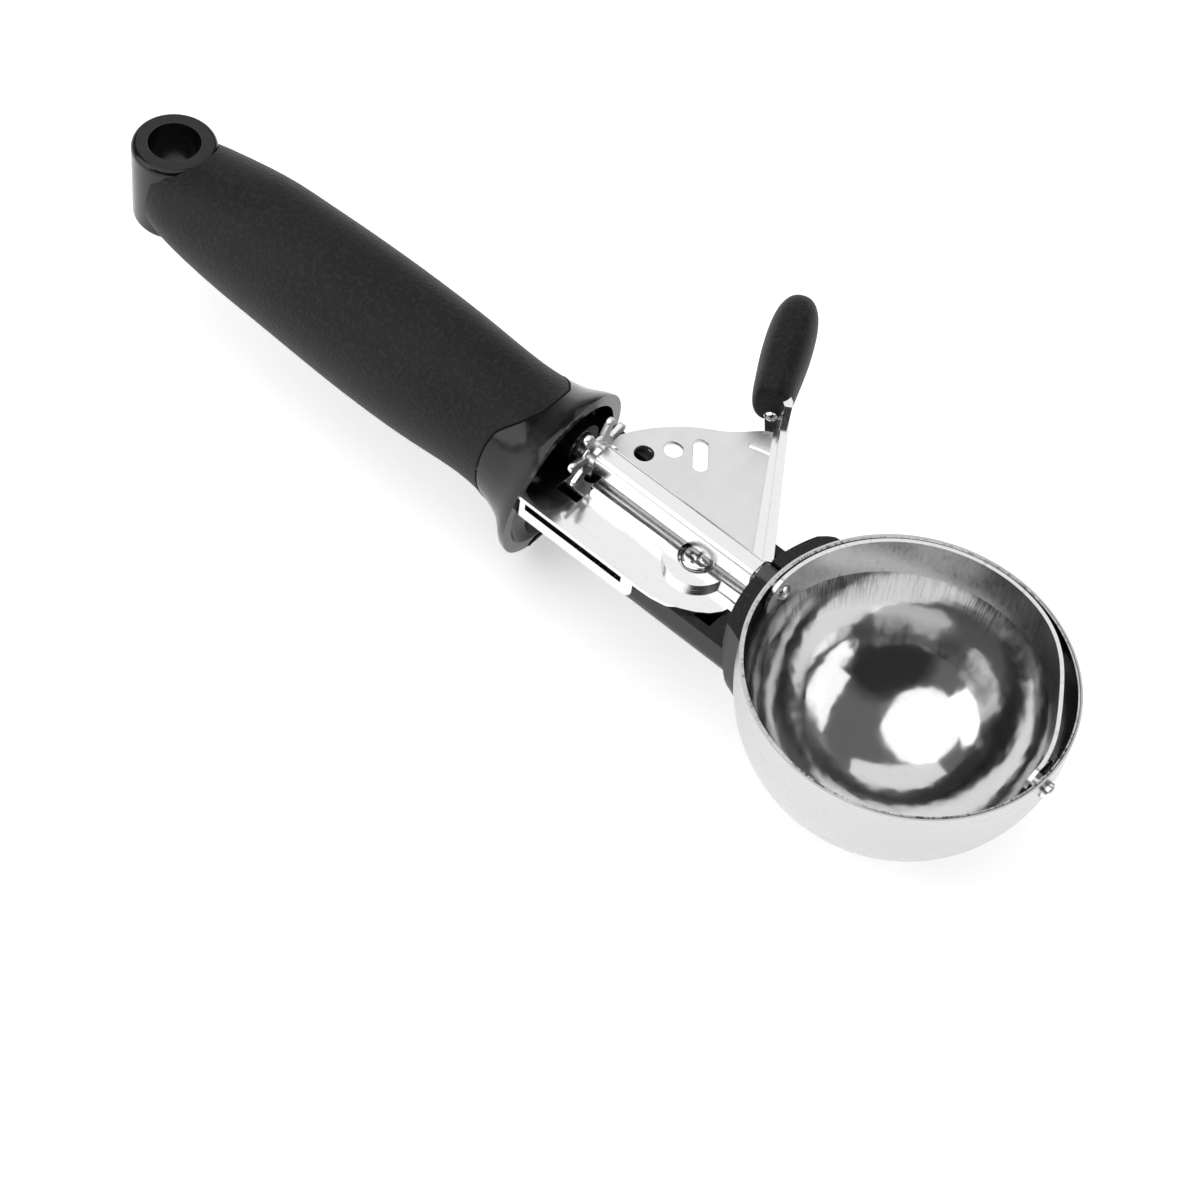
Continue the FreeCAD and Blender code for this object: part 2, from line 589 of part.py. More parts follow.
def grip_sleeve(outer, seam):
    sleeve = outer.common(seam).cut(handle_inner())
    return one(sleeve.cut(disc(butt_radius, butt_x, 0, -60, 20)))


# Two screws that hold the frame's tang and the neck's tail in the core
def tang_screws():
    parts = []
    for x, y in ((-81.8, -6.4), (-81.8, 0.4)):
        head = disc(1.9, x, y, frame_top, frame_top + 0.9)
        shank = disc(1.0, x, y, -16.5, frame_top + 0.1)
        parts.append(one(head.fuse(shank)))
    return Part.makeCompound(parts)


nodes = {}
nodes["bowl"] = bowl()
nodes["tip_pin"] = tip_pin()
nodes["scraper_blade"] = scraper_blade()
nodes["scraper_shaft"] = scraper_shaft()
nodes["shaft_rivet"] = shaft_rivet()
nodes["star_wheel"] = star_wheel()
nodes["shaft_collar"] = shaft_collar()
nodes["rear_shaft_bush"] = rear_shaft_bush()
nodes["front_shaft_bush"] = front_shaft_bush()
nodes["sector_plate"] = sector_plate()
nodes["lever_arm"] = lever_arm()
nodes["lever_rivet"] = lever_rivet()
nodes["thumb_pad"] = thumb_pad()
nodes["frame_plate"] = frame_plate()
nodes["neck_cradle"] = neck_cradle()
nodes["pivot_screw"] = pivot_screw()
nodes["pivot_bush"] = pivot_bush()
nodes["pivot_washer"] = pivot_washer()
nodes["pivot_insert"] = pivot_insert()
nodes["return_spring"] = return_spring()
nodes["tang_screws"] = tang_screws()
outer, seam = handle_outer(), seam_region()
nodes["handle_core"] = handle_core(outer, seam)
nodes["grip_sleeve"] = grip_sleeve(outer, seam)

# Each seat is cut to the piece that it holds
cuts = (("neck_cradle", ("frame_plate", "tang_screws")),
        ("handle_core", ("frame_plate", "tang_screws")),
        ("frame_plate", ("tang_screws", "front_shaft_bush")),
        ("scraper_blade", ("tip_pin", "shaft_rivet", "scraper_shaft")),
        ("thumb_pad", ("lever_arm", "lever_rivet")),
        ("lever_arm", ("lever_rivet",)))
for name, tools in cuts:
    for tool in tools:
        nodes[name] = nodes[name].cut(nodes[tool])
row_shift = V(-butt_x, 0, -ring_top)
for name, shape in nodes.items():
    pieces = [s for s in shape.Solids if s.Volume > 0.05]
    shape = pieces[0] if len(pieces) == 1 else Part.makeCompound(pieces)
    solids = sorted(shape.Solids, key=lambda s: -s.Volume)
    print(name, len(solids), "solids", [round(s.Volume, 1) for s in solids][:4], shape.isValid())
    shape.translate(row_shift)
    shape.exportStep("parts/" + name + ".step")
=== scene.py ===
import math
import bmesh
import bpy
from mathutils import Matrix, Vector
from mathutils.bvhtree import BVHTree


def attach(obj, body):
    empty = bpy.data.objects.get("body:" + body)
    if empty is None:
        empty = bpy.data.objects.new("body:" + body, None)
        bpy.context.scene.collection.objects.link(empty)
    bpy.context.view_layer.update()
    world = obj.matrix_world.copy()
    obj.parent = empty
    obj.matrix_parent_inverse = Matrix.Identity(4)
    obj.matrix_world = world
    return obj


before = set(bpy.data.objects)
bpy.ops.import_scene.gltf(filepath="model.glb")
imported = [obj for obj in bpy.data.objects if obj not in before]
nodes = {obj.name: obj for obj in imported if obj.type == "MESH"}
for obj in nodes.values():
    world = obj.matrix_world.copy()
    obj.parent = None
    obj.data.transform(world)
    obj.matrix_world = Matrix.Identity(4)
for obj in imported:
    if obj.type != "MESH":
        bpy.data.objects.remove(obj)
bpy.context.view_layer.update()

# Bowl: a deep cup of polished stainless steel, spun and then cut level at the rim.
# It is mirror bright inside and satin outside. Under the rim it has fine upright rub marks, and there its
# colour carries painted shade and painted dark reflections as a darker band with dark streaks.
# The frame's foot is welded to it and the neck's cradle carries it.
MM = 0.001
BOWL_CENTRE = Vector((0.1743, 0.0, 0.0003))
BOWL_MIDDLE_RADIUS = 0.0286
STREAK_BOTTOM = -0.012
STREAK_TOP = -0.004
INSIDE_GREY = 0.66
OUTSIDE_GREY = 0.58
UNDER_RIM_SHADE_GREY = 0.30
DARK_REFLECTION_STREAK_GREY = 0.06
SCRATCH_GREY = 0.5


def shader_group(name, inputs, outputs):
    """A node group with named float, vector or colour sockets."""
    group = bpy.data.node_groups.new(name, "ShaderNodeTree")
    kinds = {"f": "NodeSocketFloat", "v": "NodeSocketVector", "c": "NodeSocketColor"}
    for way, sockets in (("INPUT", inputs), ("OUTPUT", outputs)):
        for title, kind in sockets:
            group.interface.new_socket(name=title, in_out=way, socket_type=kinds[kind])
    return group, group.nodes.new("NodeGroupInput"), group.nodes.new("NodeGroupOutput")


class Tree:
    """Short calls for the nodes and links of one shader tree."""

    def __init__(self, tree):
        self.tree = tree

    def add(self, kind, **values):
        node = self.tree.nodes.new(kind)
        for key, value in values.items():
            setattr(node, key, value)
        return node

    def feed(self, socket, value):
        if isinstance(value, bpy.types.NodeSocket):
            self.tree.links.new(value, socket)
        else:
            socket.default_value = value

    def maths(self, operation, a, b=0.0, c=0.0):
        node = self.add("ShaderNodeMath", operation=operation)
        for socket, value in zip(node.inputs, (a, b, c)):
            self.feed(socket, value)
        return node.outputs[0]

    def vector(self, operation, a, b, out=0):
        node = self.add("ShaderNodeVectorMath", operation=operation)
        self.feed(node.inputs[0], a)
        self.feed(node.inputs[1], b)
        return node.outputs[out]

    def place(self):
        return self.add("ShaderNodeTexCoord").outputs["Object"]

    def stretch(self, vector, scale, turn=(0.0, 0.0, 0.0)):
        node = self.add("ShaderNodeMapping")
        self.feed(node.inputs["Vector"], vector)
        node.inputs["Scale"].default_value = scale
        node.inputs["Rotation"].default_value = turn
        return node.outputs[0]

    def noise(self, vector, scale, detail=3.0, rough=0.5):
        node = self.add("ShaderNodeTexNoise")
        self.feed(node.inputs["Vector"], vector)
        self.feed(node.inputs["Scale"], scale)
        node.inputs["Detail"].default_value = detail
        node.inputs["Roughness"].default_value = rough
        return node.outputs["Fac"]

    def span(self, value, low, high, to_low=0.0, to_high=1.0):
        node = self.add("ShaderNodeMapRange", clamp=True)
        for socket, number in zip(node.inputs, (value, low, high, to_low, to_high)):
            self.feed(socket, number)
        return node.outputs[0]

    def axes(self, vector):
        node = self.add("ShaderNodeSeparateXYZ")
        self.feed(node.inputs[0], vector)
        return node.outputs

    def join(self, x, y):
        node = self.add("ShaderNodeCombineXYZ")
        self.feed(node.inputs[0], x)
        self.feed(node.inputs[1], y)
        return node.outputs[0]

    def background_rays(self):
        """1 for rays that see the floor or sky itself, in the picture or in a mirror."""
        rays = self.add("ShaderNodeLightPath")
        direct = self.maths("MAXIMUM", rays.outputs["Is Camera Ray"], rays.outputs["Is Glossy Ray"])
        return self.maths("MAXIMUM", direct, rays.outputs["Is Transmission Ray"])

    def mix(self, factor, a, b):
        node = self.add("ShaderNodeMix", data_type="RGBA")
        self.feed(node.inputs[0], factor)
        self.feed(node.inputs[6], a)
        self.feed(node.inputs[7], b)
        return node.outputs[2]

    def group(self, group, **values):
        node = self.add("ShaderNodeGroup", node_tree=group)
        for key, value in values.items():
            self.feed(node.inputs[key.replace("_", " ")], value)
        return node

    def bump(self, height, distance, strength):
        node = self.add("ShaderNodeBump")
        self.feed(node.inputs["Height"], height)
        node.inputs["Distance"].default_value = distance
        node.inputs["Strength"].default_value = strength
        return node.outputs[0]


def finish_material(name, colour, roughness, metallic=0.0, **sockets):
    """A material whose plain numbers sit on the shader's own sockets."""
    material = bpy.data.materials.new(name)
    material.use_nodes = True
    shader = material.node_tree.nodes["Principled BSDF"]
    shader.inputs["Base Color"].default_value = (*colour, 1.0)
    shader.inputs["Roughness"].default_value = roughness
    shader.inputs["Metallic"].default_value = metallic
    for key, value in sockets.items():
        shader.inputs[key.replace("_", " ")].default_value = value
    material.diffuse_color = (*colour, 1.0)
    return material, Tree(material.node_tree), shader


def dress(material, *names):
    """Gives a material to CAD nodes."""
    for name in names:
        mesh = nodes[name].data
        mesh.materials.clear()
        mesh.materials.append(material)


def grey(level):
    return (level, level, level, 1.0)


def round_edges(width, *names, angle=32.0, segments=3):
    """Breaks the sharp edges of CAD nodes, as pressing, tumbling or moulding leaves them."""
    weld_distance = 0.000002
    flat_angle = math.radians(0.6)
    for name in names:
        piece = nodes[name]
        piece.modifiers.new("join_faces", "WELD").merge_threshold = weld_distance
        flat = piece.modifiers.new("plain_faces", "DECIMATE")
        flat.decimate_type = "DISSOLVE"
        flat.angle_limit = flat_angle
        soft = piece.modifiers.new("soft_edges", "BEVEL")
        soft.width = width
        soft.segments = segments
        soft.limit_method = "ANGLE"
        soft.angle_limit = math.radians(angle)
        soft.harden_normals = False
        even = piece.modifiers.new("even_shading", "WEIGHTED_NORMAL")
        even.keep_sharp = True
        for face in piece.data.polygons:
            face.use_smooth = True


# Rub marks: long fine lines left by polishing, drawn along one stretched direction
rub_marks, g_in, g_out = shader_group("rub_marks", (("Vector", "v"), ("Scale", "f")),
                                      (("Tone", "f"), ("Lines", "f")))
t = Tree(rub_marks)
fine = t.noise(g_in.outputs["Vector"], g_in.outputs["Scale"], 4.0, 0.65)
broad = t.noise(g_in.outputs["Vector"], t.maths("MULTIPLY", g_in.outputs["Scale"], 0.23), 3.0, 0.6)
rub_marks.links.new(t.maths("ADD", t.maths("MULTIPLY", fine, 0.6), t.maths("MULTIPLY", broad, 0.4)),
                    g_out.inputs["Tone"])
rub_marks.links.new(t.span(fine, 0.30, 0.42, 1.0, 0.0), g_out.inputs["Lines"])

# Handling marks: soft smears and tiny scratches from use on bright metal
handling, g_in, g_out = shader_group("handling_marks", (("Vector", "v"), ("Scale", "f")),
                                     (("Smear", "f"), ("Scratch", "f")))
t = Tree(handling)
smear = t.noise(g_in.outputs["Vector"], g_in.outputs["Scale"], 5.0, 0.62)
crossed = []
for turn in (0.5, -0.9):
    line = t.stretch(g_in.outputs["Vector"], (1.0, 24.0, 9.0), (0.0, 0.4, turn))
    crossed.append(t.span(t.noise(line, t.maths("MULTIPLY", g_in.outputs["Scale"], 2.4), 2.0, 0.5),
                          0.665, 0.70))
handling.links.new(t.span(smear, 0.35, 0.70), g_out.inputs["Smear"])
handling.links.new(t.maths("MAXIMUM", crossed[0], crossed[1]), g_out.inputs["Scratch"])

bowl_steel, t, shader = finish_material("bowl_steel", (0.78, 0.78, 0.79), 0.1, 1.0)
offset = t.vector("SUBTRACT", t.place(), tuple(BOWL_CENTRE))
x, y, z = t.axes(offset)
below = t.maths("MINIMUM", z, 0.0)
across = t.maths("ADD", t.maths("MULTIPLY", x, x), t.maths("MULTIPLY", y, y))
reach = t.maths("SQRT", t.maths("ADD", across, t.maths("MULTIPLY", below, below)))
outside = t.span(reach, BOWL_MIDDLE_RADIUS - 0.1 * MM, BOWL_MIDDLE_RADIUS + 0.1 * MM)
angle = t.maths("ARCTAN2", y, x)
upright = t.group(rub_marks, Vector=t.join(angle, t.maths("MULTIPLY", z, 2.5)), Scale=64.0)
turned = t.join(t.maths("MULTIPLY", angle, 0.12), t.maths("MULTIPLY", z, 90.0))
spun = t.group(rub_marks, Vector=turned, Scale=7.0)
marks = t.group(handling, Vector=t.place(), Scale=60.0)
patchy = t.noise(t.stretch(offset, (60.0, 60.0, 20.0)), 1.0, 2.0)
under_rim_rubs_and_shade = t.maths("MULTIPLY", t.span(z, STREAK_BOTTOM, STREAK_TOP), t.maths("SUBTRACT", 1.0, outside))
under_rim_rubs_and_shade = t.maths("MULTIPLY", under_rim_rubs_and_shade, t.span(patchy, 0.38, 0.58, 0.25, 1.0))
dark_reflection_streaks = t.maths("MULTIPLY", t.span(upright.outputs["Tone"], 0.51, 0.45), under_rim_rubs_and_shade)
inner_rough = t.maths("MULTIPLY_ADD", under_rim_rubs_and_shade, 0.12, t.span(spun.outputs["Tone"], 0.3, 0.7, 0.05, 0.12))
inner_rough = t.maths("MULTIPLY_ADD", marks.outputs["Smear"], 0.03, inner_rough)
outer_rough = t.span(spun.outputs["Tone"], 0.3, 0.7, 0.24, 0.34)
mixed = t.add("ShaderNodeMix", data_type="FLOAT")
t.feed(mixed.inputs[0], outside)
t.feed(mixed.inputs[2], inner_rough)
t.feed(mixed.inputs[3], outer_rough)
t.feed(shader.inputs["Roughness"], mixed.outputs[0])
tone = t.mix(outside, grey(INSIDE_GREY), grey(OUTSIDE_GREY))
# Painted shade and painted dark reflections: under the rim the colour is darkened and streaked; the
# roughness and bump there are the rub marks.
tone = t.mix(t.maths("MULTIPLY", under_rim_rubs_and_shade, 0.7), tone, grey(UNDER_RIM_SHADE_GREY))
tone = t.mix(t.maths("MULTIPLY", dark_reflection_streaks, 0.9), tone, grey(DARK_REFLECTION_STREAK_GREY))
tone = t.mix(t.maths("MULTIPLY", marks.outputs["Scratch"], 0.35), tone, grey(SCRATCH_GREY))
t.feed(shader.inputs["Base Color"], tone)
dents = t.noise(t.place(), 130.0, 2.0)
height = t.maths("ADD", t.maths("MULTIPLY", upright.outputs["Tone"], t.maths("MULTIPLY", under_rim_rubs_and_shade, 0.02)),
                 t.maths("ADD", t.maths("MULTIPLY", spun.outputs["Tone"], 0.012), dents))
height = t.maths("MULTIPLY", height, t.span(outside, 0.0, 1.0, 1.0, 0.25))
t.feed(shader.inputs["Normal"], t.bump(height, 0.0005, 0.25))
dress(bowl_steel, "bowl")

# Scraper blade: a strip of stainless steel, stamped out and bent to the bowl's curve.
# It turns on the tip pin in front and is riveted to the shaft at the rear.
# The strip keeps fine lines of its rolling, across its width.
blade_steel, t, shader = finish_material("blade_steel", (0.74, 0.74, 0.75), 0.18, 1.0)
x, y, z = t.axes(t.vector("SUBTRACT", t.place(), tuple(BOWL_CENTRE)))
across = t.join(t.maths("ARCTAN2", y, x), t.maths("MULTIPLY", z, 12.0))
lines = t.group(rub_marks, Vector=across, Scale=38.0)
t.feed(shader.inputs["Roughness"], t.span(lines.outputs["Tone"], 0.3, 0.7, 0.12, 0.26))
t.feed(shader.inputs["Base Color"], t.mix(t.maths("MULTIPLY", lines.outputs["Lines"], 0.6),
                                          grey(0.76), grey(0.42)))
t.feed(shader.inputs["Normal"], t.bump(lines.outputs["Tone"], 0.00003, 0.4))
dress(blade_steel, "scraper_blade")

# Pins, rivets, collar, screws, washer and spring: turned, headed or wound from bright steel.
# They are tumbled smooth, so they only have soft smears and tiny scratches.
bright_steel, t, shader = finish_material("bright_steel", (0.8, 0.8, 0.8), 0.12, 1.0)
marks = t.group(handling, Vector=t.place(), Scale=220.0)
t.feed(shader.inputs["Roughness"], t.span(marks.outputs["Smear"], 0.0, 1.0, 0.08, 0.2))
t.feed(shader.inputs["Base Color"], t.mix(t.maths("MULTIPLY", marks.outputs["Scratch"], 0.4),
                                          grey(0.8), grey(0.55)))
t.feed(shader.inputs["Normal"], t.bump(marks.outputs["Smear"], 0.00002, 0.3))
dress(bright_steel, "tip_pin", "shaft_rivet", "shaft_collar", "lever_rivet", "pivot_screw",
      "pivot_washer", "tang_screws", "return_spring")

# Shaft and star wheel: a folded channel of plated strip on round journals, with a stamped wheel.
# Rolling lines run along the shaft. Plating is bright, with a soft grain over it.
shaft_plate, t, shader = finish_material("shaft_plate", (0.82, 0.82, 0.82), 0.16, 1.0)
along = t.stretch(t.place(), (14.0, 900.0, 900.0))
lines = t.group(rub_marks, Vector=along, Scale=1.0)
t.feed(shader.inputs["Roughness"], t.span(lines.outputs["Tone"], 0.3, 0.7, 0.12, 0.3))
t.feed(shader.inputs["Base Color"], t.mix(t.maths("MULTIPLY", lines.outputs["Lines"], 0.5),
                                          grey(0.84), grey(0.5)))
t.feed(shader.inputs["Normal"], t.bump(lines.outputs["Tone"], 0.00003, 0.4))
dress(shaft_plate, "scraper_shaft", "star_wheel")
round_edges(0.00012, "scraper_shaft", "star_wheel", segments=2)

# Shaft bushes: two plain bearings moulded in dark acetal, with a fine grain.
# One is pressed into the cradle behind the bowl and one sits inside the handle.
bush_plastic, t, shader = finish_material("bush_plastic", (0.05, 0.05, 0.052), 0.45)
grain = t.noise(t.place(), 2600.0, 3.0, 0.6)
t.feed(shader.inputs["Roughness"], t.span(grain, 0.3, 0.7, 0.38, 0.52))
t.feed(shader.inputs["Base Color"], t.mix(grain, grey(0.045), grey(0.06)))
t.feed(shader.inputs["Normal"], t.bump(grain, 0.00003, 0.3))
dress(bush_plastic, "front_shaft_bush", "rear_shaft_bush")

# Sector plate: a flat stamping of stainless steel, pierced with the holes that drive the wheel.
# Its face is pale satin, with fine polishing lines that run across the scoop.
PATTERN_TURN = math.radians(-32.0)
sector_steel, t, shader = finish_material("sector_steel", (0.8, 0.8, 0.8), 0.36, 1.0)
along = t.stretch(t.place(), (420.0, 36.0, 420.0), (0.0, 0.0, PATTERN_TURN))
lines = t.group(rub_marks, Vector=along, Scale=1.0)
marks = t.group(handling, Vector=t.place(), Scale=90.0)
t.feed(shader.inputs["Roughness"], t.span(lines.outputs["Tone"], 0.3, 0.7, 0.30, 0.42))
t.feed(shader.inputs["Base Color"], t.mix(marks.outputs["Smear"], grey(0.8), grey(0.74)))
t.feed(shader.inputs["Normal"], t.bump(lines.outputs["Tone"], 0.00003, 0.35))
dress(sector_steel, "sector_plate")
round_edges(0.00012, "sector_plate", segments=2)

# Frame and lever arm: steel stampings with bright chrome plating, waved a little by the press.
# The frame is welded to the bowl in front and screwed into the handle behind.
chrome, t, shader = finish_material("chrome", (0.84, 0.84, 0.85), 0.09, 1.0)
marks = t.group(handling, Vector=t.place(), Scale=120.0)
wave = t.noise(t.place(), 95.0, 2.0, 0.5)
t.feed(shader.inputs["Roughness"], t.span(marks.outputs["Smear"], 0.0, 1.0, 0.07, 0.18))
t.feed(shader.inputs["Base Color"], t.mix(t.maths("MULTIPLY", marks.outputs["Scratch"], 0.4),
                                          grey(0.84), grey(0.6)))
t.feed(shader.inputs["Normal"], t.bump(wave, 0.0008, 0.2))
dress(chrome, "frame_plate", "lever_arm")
round_edges(0.00038, "frame_plate")
round_edges(0.00022, "lever_arm")

# Pivot bush and insert: turned brass, hidden in the neck's boss.
# The insert is moulded in. Its screw clamps the bush, and the sector plate turns on the bush.
brass, t, shader = finish_material("turned_brass", (0.78, 0.58, 0.28), 0.25, 1.0)
turned = t.group(rub_marks, Vector=t.stretch(t.place(), (90.0, 90.0, 2600.0)), Scale=1.0)
t.feed(shader.inputs["Roughness"], t.span(turned.outputs["Tone"], 0.3, 0.7, 0.2, 0.38))
t.feed(shader.inputs["Base Color"], t.mix(turned.outputs["Tone"], (0.7, 0.5, 0.23, 1.0),
                                          (0.84, 0.64, 0.33, 1.0)))
dress(brass, "pivot_bush", "pivot_insert")

# Neck and cradle: one moulding in satin black nylon.
# Its edges are painted lighter: partly rubbed wear where they are handled, partly a painted highlight along
# the rims.
moulded_grain, g_in, g_out = shader_group("moulded_grain", (("Vector", "v"), ("Scale", "f")),
                                          (("Height", "f"), ("Tone", "f")))
t = Tree(moulded_grain)
cells = t.add("ShaderNodeTexVoronoi", feature="SMOOTH_F1")
t.feed(cells.inputs["Vector"], g_in.outputs["Vector"])
t.feed(cells.inputs["Scale"], g_in.outputs["Scale"])
fine = t.noise(g_in.outputs["Vector"], t.maths("MULTIPLY", g_in.outputs["Scale"], 1.7), 3.0, 0.6)
broad = t.noise(g_in.outputs["Vector"], t.maths("MULTIPLY", g_in.outputs["Scale"], 0.03), 3.0, 0.5)
moulded_grain.links.new(t.maths("ADD", t.maths("MULTIPLY", cells.outputs["Distance"], 0.6),
                                t.maths("MULTIPLY", fine, 0.5)), g_out.inputs["Height"])
moulded_grain.links.new(broad, g_out.inputs["Tone"])

# Lighter edges: a mask of the rounded edges, for rubbed wear and a painted highlight along them.
edge_wear_and_highlight, g_in, g_out = shader_group("edge_wear_and_highlight", (("Radius", "f"),), (("Mask", "f"),))
t = Tree(edge_wear_and_highlight)
rounded = t.add("ShaderNodeBevel", samples=4)
t.feed(rounded.inputs["Radius"], g_in.outputs["Radius"])
facing = t.vector("DOT_PRODUCT", rounded.outputs[0], t.add("ShaderNodeNewGeometry").outputs["Normal"], out=1)
edge_wear_and_highlight.links.new(t.span(facing, 0.80, 0.98, 1.0, 0.0), g_out.inputs["Mask"])


def moulding(name, dark, light, edge_wear_and_highlight_grey, rough, scale, depth, radius, shine):
    """A black moulding: fine grain with pale specks, slow change of tone, edges painted lighter as rubbed
    wear and as a painted highlight.
    """
    material, t, shader = finish_material(name, (dark, dark, dark), rough, Specular_IOR_Level=shine)
    grain = t.group(moulded_grain, Vector=t.place(), Scale=scale)
    lighter_edges = t.group(edge_wear_and_highlight, Radius=radius)
    tone = t.mix(t.span(grain.outputs["Tone"], 0.35, 0.65), grey(dark), grey(light))
    specks = t.maths("MULTIPLY", t.span(grain.outputs["Height"], 0.50, 0.64), 0.45)
    tone = t.mix(specks, tone, grey(light * 3.0))
    # Painted highlight and rubbed wear: the edges and rims are painted lighter.
    tone = t.mix(t.maths("MULTIPLY", lighter_edges.outputs["Mask"], 0.8), tone, grey(edge_wear_and_highlight_grey))
    t.feed(shader.inputs["Base Color"], tone)
    t.feed(shader.inputs["Roughness"], t.span(grain.outputs["Height"], 0.2, 0.8, rough - 0.05, rough + 0.06))
    t.feed(shader.inputs["Normal"], t.bump(grain.outputs["Height"], depth, 0.5))
    return material


neck_nylon = moulding("neck_nylon", dark=0.005, light=0.008, edge_wear_and_highlight_grey=0.03, rough=0.36,
                      scale=1700.0, depth=0.00003, radius=0.0004, shine=0.26)
dress(neck_nylon, "neck_cradle")
round_edges(0.0004, "neck_cradle")

# Handle core: one hard black moulding, with the glossy finger guard and the hanging ring.
# The neck's rear end sits in it, held by the two tang screws.
core_gloss = moulding("core_gloss", dark=0.002, light=0.003, edge_wear_and_highlight_grey=0.03, rough=0.15,
                      scale=900.0, depth=0.00001, radius=0.0004, shine=0.38)
dress(core_gloss, "handle_core")

# Grip sleeve and thumb pad: soft black thermoplastic rubber moulded over the hard parts.
# The skin has an even fine grain that scatters the light.
soft_rubber = moulding("soft_rubber", dark=0.005, light=0.008, edge_wear_and_highlight_grey=0.015, rough=0.52,
                       scale=1500.0, depth=0.0003, radius=0.0005, shine=0.22)
dress(soft_rubber, "grip_sleeve", "thumb_pad")

# Grip seam: the fine dark gap where the soft sleeve ends against the hard guard.
# It runs forward in a lobe above and below, and straight round the sides.
SEAM_PLAN = ((0.0, 95.3), (1.2, 95.3), (3.5, 94.9), (6.5, 92.5), (7.8, 90.9), (9.1, 89.3), (10.8, 88.6),
             (13.0, 88.1))
HANDLE_AXIS_Z = -0.0085
HANDLE_HALF_WIDTH = 0.012
SEAM_HALF_WIDTH = 0.00028
SEAM_POINTS = 120
SEAM_TRIES = 5
OUTSIDE_HANDLE = 0.05
SEAM_SUNK = 0.6


def seam_x(y):
    """Where the seam lies along the handle, at a distance y from its middle plane."""
    y = abs(y) / MM
    for (y0, x0), (y1, x1) in zip(SEAM_PLAN, SEAM_PLAN[1:]):
        if y <= y1:
            return (x0 + (x1 - x0) * (y - y0) / (y1 - y0)) * MM
    return SEAM_PLAN[-1][1] * MM


def skin_of(*names):
    """A search tree over the faces of CAD nodes."""
    work = bmesh.new()
    for name in names:
        work.from_mesh(nodes[name].data)
    tree = BVHTree.FromBMesh(work)
    work.free()
    return tree


def bead(name, points, radius, body, material, sides=8):
    """A thin round line through the points and back to the first, on a body."""
    count = len(points)
    work = bmesh.new()
    rings = []
    for i, point in enumerate(points):
        along = (points[(i + 1) % count] - points[i - 1]).normalized()
        side = along.cross(Vector((0, 0, 1)))
        side = side.normalized() if side.length > 0.05 else along.cross(Vector((0, 1, 0))).normalized()
        other = along.cross(side)
        rings.append([work.verts.new(point + (side * math.cos(a) + other * math.sin(a)) * radius)
                      for a in (2 * math.pi * k / sides for k in range(sides))])
    for one, two in zip(rings, rings[1:] + rings[:1]):
        for k in range(sides):
            work.faces.new((one[k], one[(k + 1) % sides], two[(k + 1) % sides], two[k]))
    bmesh.ops.recalc_face_normals(work, faces=work.faces)
    mesh = bpy.data.meshes.new(name)
    work.to_mesh(mesh)
    work.free()
    for face in mesh.polygons:
        face.use_smooth = True
    mesh.materials.append(material)
    piece = bpy.data.objects.new(name, mesh)
    bpy.context.scene.collection.objects.link(piece)
    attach(piece, body)
    return piece


seam_dark, t, shader = finish_material("seam_shadow", (0.003, 0.003, 0.003), 0.8, Specular_IOR_Level=0.1)
t.feed(shader.inputs["Base Color"], t.mix(t.noise(t.place(), 900.0), grey(0.002), grey(0.004)))
skin = skin_of("grip_sleeve", "handle_core")
points = []
for step in range(SEAM_POINTS):
    a = 2 * math.pi * step / SEAM_POINTS
    out = Vector((0.0, math.cos(a), math.sin(a)))
    x = seam_x(out.y * HANDLE_HALF_WIDTH)
    for _ in range(SEAM_TRIES):
        hit = skin.ray_cast(Vector((x, 0.0, HANDLE_AXIS_Z)) + out * OUTSIDE_HANDLE, -out)[0]
        x = seam_x(hit.y)
    points.append(hit - out * SEAM_HALF_WIDTH * SEAM_SUNK)
seam = bead("grip_seam", points, SEAM_HALF_WIDTH, "handle", seam_dark)

# Floor: a wide sheet of white paper just under the guard, the lowest point of the scoop.
# It shows a soft shadow, and glows a little for the rays that see it, so that it looks white.
FLOOR_Z = -0.0334
FLOOR_RADIUS = 4.0
FLOOR_GLOW = 0.40
mesh = bpy.data.meshes.new("floor")
work = bmesh.new()
bmesh.ops.create_circle(work, cap_ends=True, segments=96, radius=FLOOR_RADIUS,
                        matrix=Matrix.Translation((0.1, 0.0, FLOOR_Z)))
work.to_mesh(mesh)
work.free()
floor = bpy.data.objects.new("floor", mesh)
bpy.context.scene.collection.objects.link(floor)
paper, t, shader = finish_material("floor_paper", (0.9, 0.9, 0.9), 0.9)
t.feed(shader.inputs["Emission Strength"], t.maths("MULTIPLY", t.background_rays(), FLOOR_GLOW))
shader.inputs["Emission Color"].default_value = (1.0, 1.0, 1.0, 1.0)
t.feed(shader.inputs["Base Color"], t.mix(t.noise(t.place(), 3.0), grey(0.89), grey(0.91)))
mesh.materials.append(paper)

# Lights: soft panels of a small studio, each placed by what the bowl mirrors.
# The round one hangs over the bowl, and the others stand behind, in front and beyond the tip.
LIGHT_AIM = Vector((0.15, 0.0, 0.0))


def soft_light(name, shape, direction, distance, width, depth, brightness):
    """A panel of the given brightness that looks at the scoop."""
    lamp = bpy.data.lights.new(name, "AREA")
    lamp.shape = shape
    lamp.size, lamp.size_y = width, depth
    area = width * depth * (math.pi / 4 if shape == "ELLIPSE" else 1.0)
    lamp.energy = math.pi * area * brightness
    light = bpy.data.objects.new(name, lamp)
    towards = Vector(direction).normalized()
    turn = towards.to_track_quat("Z", "Y").to_matrix().to_4x4()
    light.matrix_world = Matrix.Translation(LIGHT_AIM + towards * distance) @ turn
    bpy.context.scene.collection.objects.link(light)


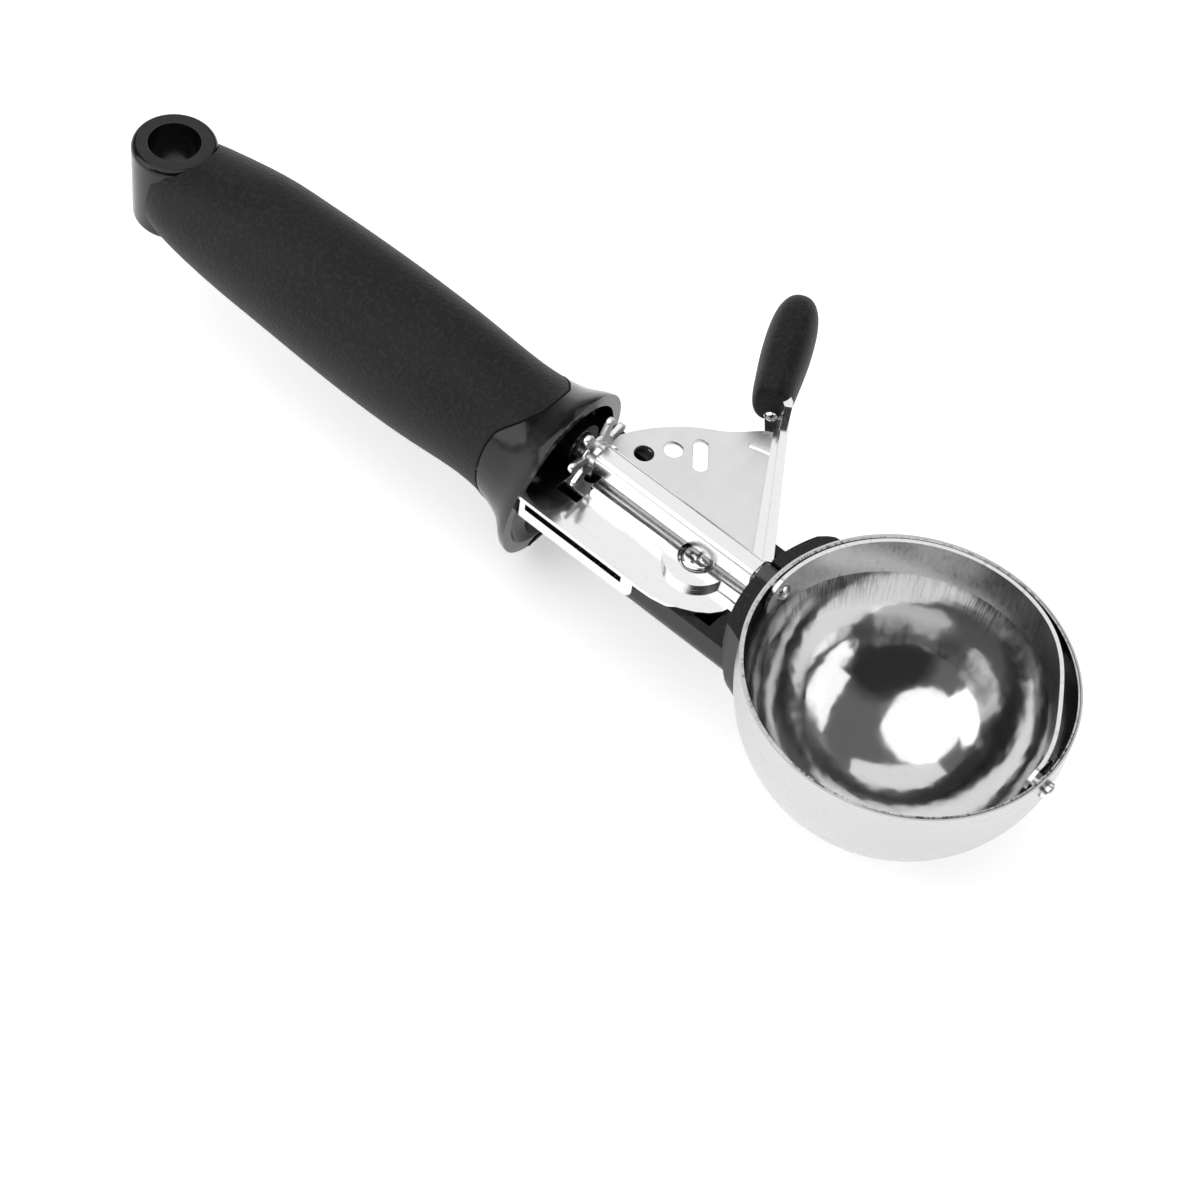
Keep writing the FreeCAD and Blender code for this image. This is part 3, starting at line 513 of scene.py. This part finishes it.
soft_light("round_light", "ELLIPSE", direction=(-0.19, -0.32, 0.93), distance=0.85,
           width=0.90, depth=0.90, brightness=1.4)
soft_light("handle_panel", "RECTANGLE", direction=(-0.45, 0.50, 0.74), distance=1.0,
           width=1.10, depth=0.80, brightness=0.85)
soft_light("front_panel", "RECTANGLE", direction=(-0.63, -0.65, 0.43), distance=1.0,
           width=0.70, depth=0.68, brightness=1.9)
soft_light("tip_panel", "RECTANGLE", direction=(0.76, 0.35, 0.55), distance=1.0,
           width=0.90, depth=0.40, brightness=1.3)

# Studio walls: pale near the horizon and grey above, with one dark side where no panel stands.
# The camera and shiny surfaces see them, and dull surfaces get an even grey light.
HORIZON_GREY = 0.85
WALL_GREY = 0.36
WALL_FROM = 0.20
CEILING_GREY = 0.17
CEILING_FROM = 0.42
UNLIT_GREY = 0.035
UNLIT_SIDE = (0.60, -0.60, 0.53)
EVEN_GREY = 0.5
world = bpy.data.worlds.new("studio")
bpy.context.scene.world = world
world.use_nodes = True
t = Tree(world.node_tree)
back = world.node_tree.nodes["Background"]
direction = t.add("ShaderNodeTexCoord").outputs["Generated"]
height = t.axes(direction)[2]
room = t.mix(t.span(height, 0.0, WALL_FROM), grey(HORIZON_GREY), grey(WALL_GREY))
room = t.mix(t.span(height, WALL_FROM, CEILING_FROM), room, grey(CEILING_GREY))
unlit = t.vector("DOT_PRODUCT", direction, UNLIT_SIDE, out=1)
room = t.mix(t.span(unlit, 0.78, 0.90), room, grey(UNLIT_GREY))
t.feed(back.inputs["Color"], t.mix(t.background_rays(), grey(EVEN_GREY), room))
back.inputs["Strength"].default_value = 1.0

# Camera: placed by fitting the bowl's rim, the shaft, the ring and the guard to the photograph.
# It looks down on the scoop from the bowl's side, with a long lens.
CAMERA_AT = Vector((0.29146, -0.27697, 0.40786))
CAMERA_RIGHT = Vector((0.7497, 0.6537, 0.1028))
CAMERA_UP = Vector((-0.5760, 0.5680, 0.5879))
CAMERA_BACK = Vector((0.3259, -0.4999, 0.8024))
SENSOR_WIDTH = 36.0
FOCAL_LENGTH = 90.16
lens = bpy.data.cameras.new("camera")
lens.sensor_width = SENSOR_WIDTH
lens.lens = FOCAL_LENGTH
lens.clip_start = 0.01
lens.clip_end = 20.0
camera = bpy.data.objects.new("camera", lens)
columns = Matrix((CAMERA_RIGHT, CAMERA_UP, CAMERA_BACK)).transposed()
camera.matrix_world = Matrix.Translation(CAMERA_AT) @ columns.to_4x4()
bpy.context.scene.collection.objects.link(camera)
bpy.context.scene.camera = camera
bpy.context.scene.view_settings.view_transform = "Standard"
